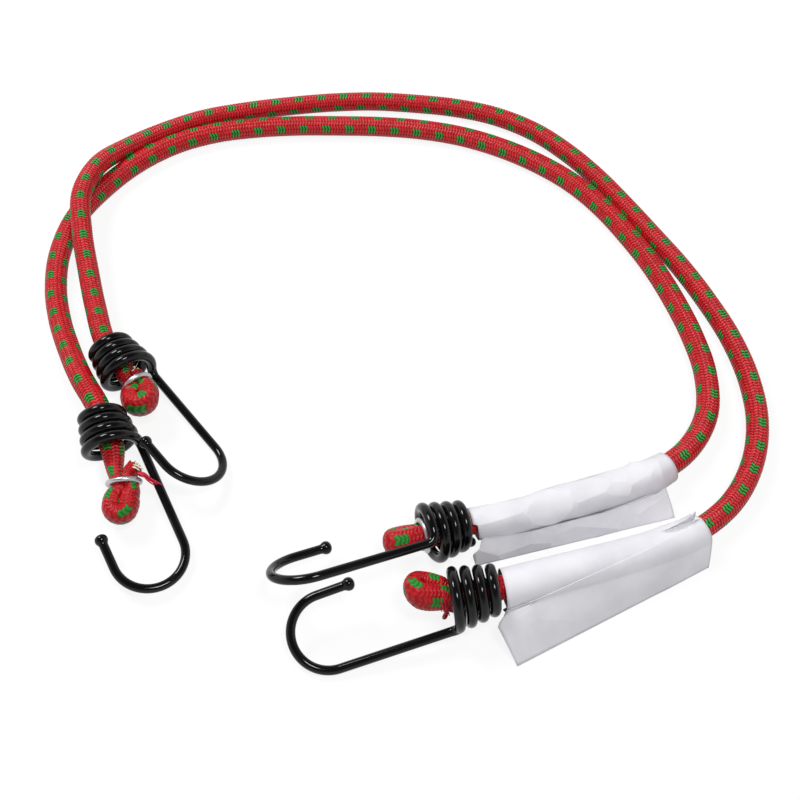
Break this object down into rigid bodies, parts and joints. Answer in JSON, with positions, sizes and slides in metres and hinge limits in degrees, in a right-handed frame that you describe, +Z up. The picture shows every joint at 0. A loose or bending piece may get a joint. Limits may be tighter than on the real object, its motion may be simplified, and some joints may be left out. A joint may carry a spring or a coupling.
{
  "type": "bungee cord",
  "caption": "Hooked elastic luggage cords lying together: braided sheath over a rubber core, doubled ends clamped by wire rings and held in the conical coils of coated wire hooks.",
  "frame": {"origin": "on the table under the middle of the pair as it lies", "axes": "+Z up from the table, +Y away from the open side of the loop where the hooks lie, +X towards the labelled ends' bend"},
  "size_m": [0.2613, 0.2524, 0.0258],
  "materials": {
    "sheath": "braided red yarn with green tracer stitches",
    "core": "bundle of natural latex threads",
    "hook": "steel wire with a glossy black vinyl coat",
    "ring": "bright zinc-plated wire",
    "label": "matt white paper"
  },
  "bodies": {
    "inner_cord": {"inner_sheath": "sheath", "inner_core": "core", "inner_stretch_sheath": "sheath", "inner_stretch_core": "core", "inner_label": "label", "inner_front_fold_sheath": "sheath", "inner_front_fold_core": "core", "inner_front_ring": "ring"},
    "inner_left_end": {"inner_left_fold_sheath": "sheath", "inner_left_fold_core": "core", "inner_left_ring": "ring"},
    "inner_left_hook": {"inner_left_hook": "hook"},
    "inner_front_hook": {"inner_front_hook": "hook"},
    "outer_cord": {"outer_sheath": "sheath", "outer_core": "core", "outer_stretch_sheath": "sheath", "outer_stretch_core": "core", "outer_label": "label", "outer_left_fold_sheath": "sheath", "outer_left_fold_core": "core", "outer_left_ring": "ring"},
    "outer_front_end": {"outer_front_fold_sheath": "sheath", "outer_front_fold_core": "core", "outer_front_ring": "ring"},
    "outer_front_hook": {"outer_front_hook": "hook"},
    "outer_left_hook": {"outer_left_hook": "hook"}
  },
  "joints": [
    {"name": "outer_cord_lift", "type": "slide", "parent": "inner_cord", "child": "outer_cord", "axis": [0.3015, -0.3015, 0.9045], "range_m": [0, 0.1]},
    {"name": "outer_stretch", "type": "slide", "parent": "outer_cord", "child": "outer_front_end", "axis": [-0.9736, -0.2283, 0], "range_m": [0, 0.025], "stiffness_N_per_m": 1400, "deforming": ["outer_stretch_sheath", "outer_stretch_core"]},
    {"name": "inner_stretch", "type": "slide", "parent": "inner_cord", "child": "inner_left_end", "axis": [0.3939, -0.9191, 0], "range_m": [0, 0.016], "stiffness_N_per_m": 2200, "deforming": ["inner_stretch_sheath", "inner_stretch_core"]},
    {"name": "outer_left_swivel", "type": "hinge", "parent": "outer_cord", "child": "outer_left_hook", "pos_m": [-0.0908, -0.0219, 0.0106], "axis": [0.6074, -0.7916, -0.0663], "range_deg": [-110, 0]},
    {"name": "outer_front_swivel", "type": "hinge", "parent": "outer_front_end", "child": "outer_front_hook", "pos_m": [0.0193, -0.1054, 0.0107], "axis": [-0.9699, -0.2275, -0.0872], "range_deg": [-120, 45]},
    {"name": "inner_left_swivel", "type": "hinge", "parent": "inner_left_end", "child": "inner_left_hook", "pos_m": [-0.0925, -0.0518, 0.0105], "axis": [0.3899, -0.9097, -0.1426], "range_deg": [-130, 5]},
    {"name": "inner_front_swivel", "type": "hinge", "parent": "inner_cord", "child": "inner_front_hook", "pos_m": [0.0113, -0.0833, 0.0106], "axis": [-0.9314, -0.339, 0.1323], "range_deg": [-20, 60]}
  ]
}
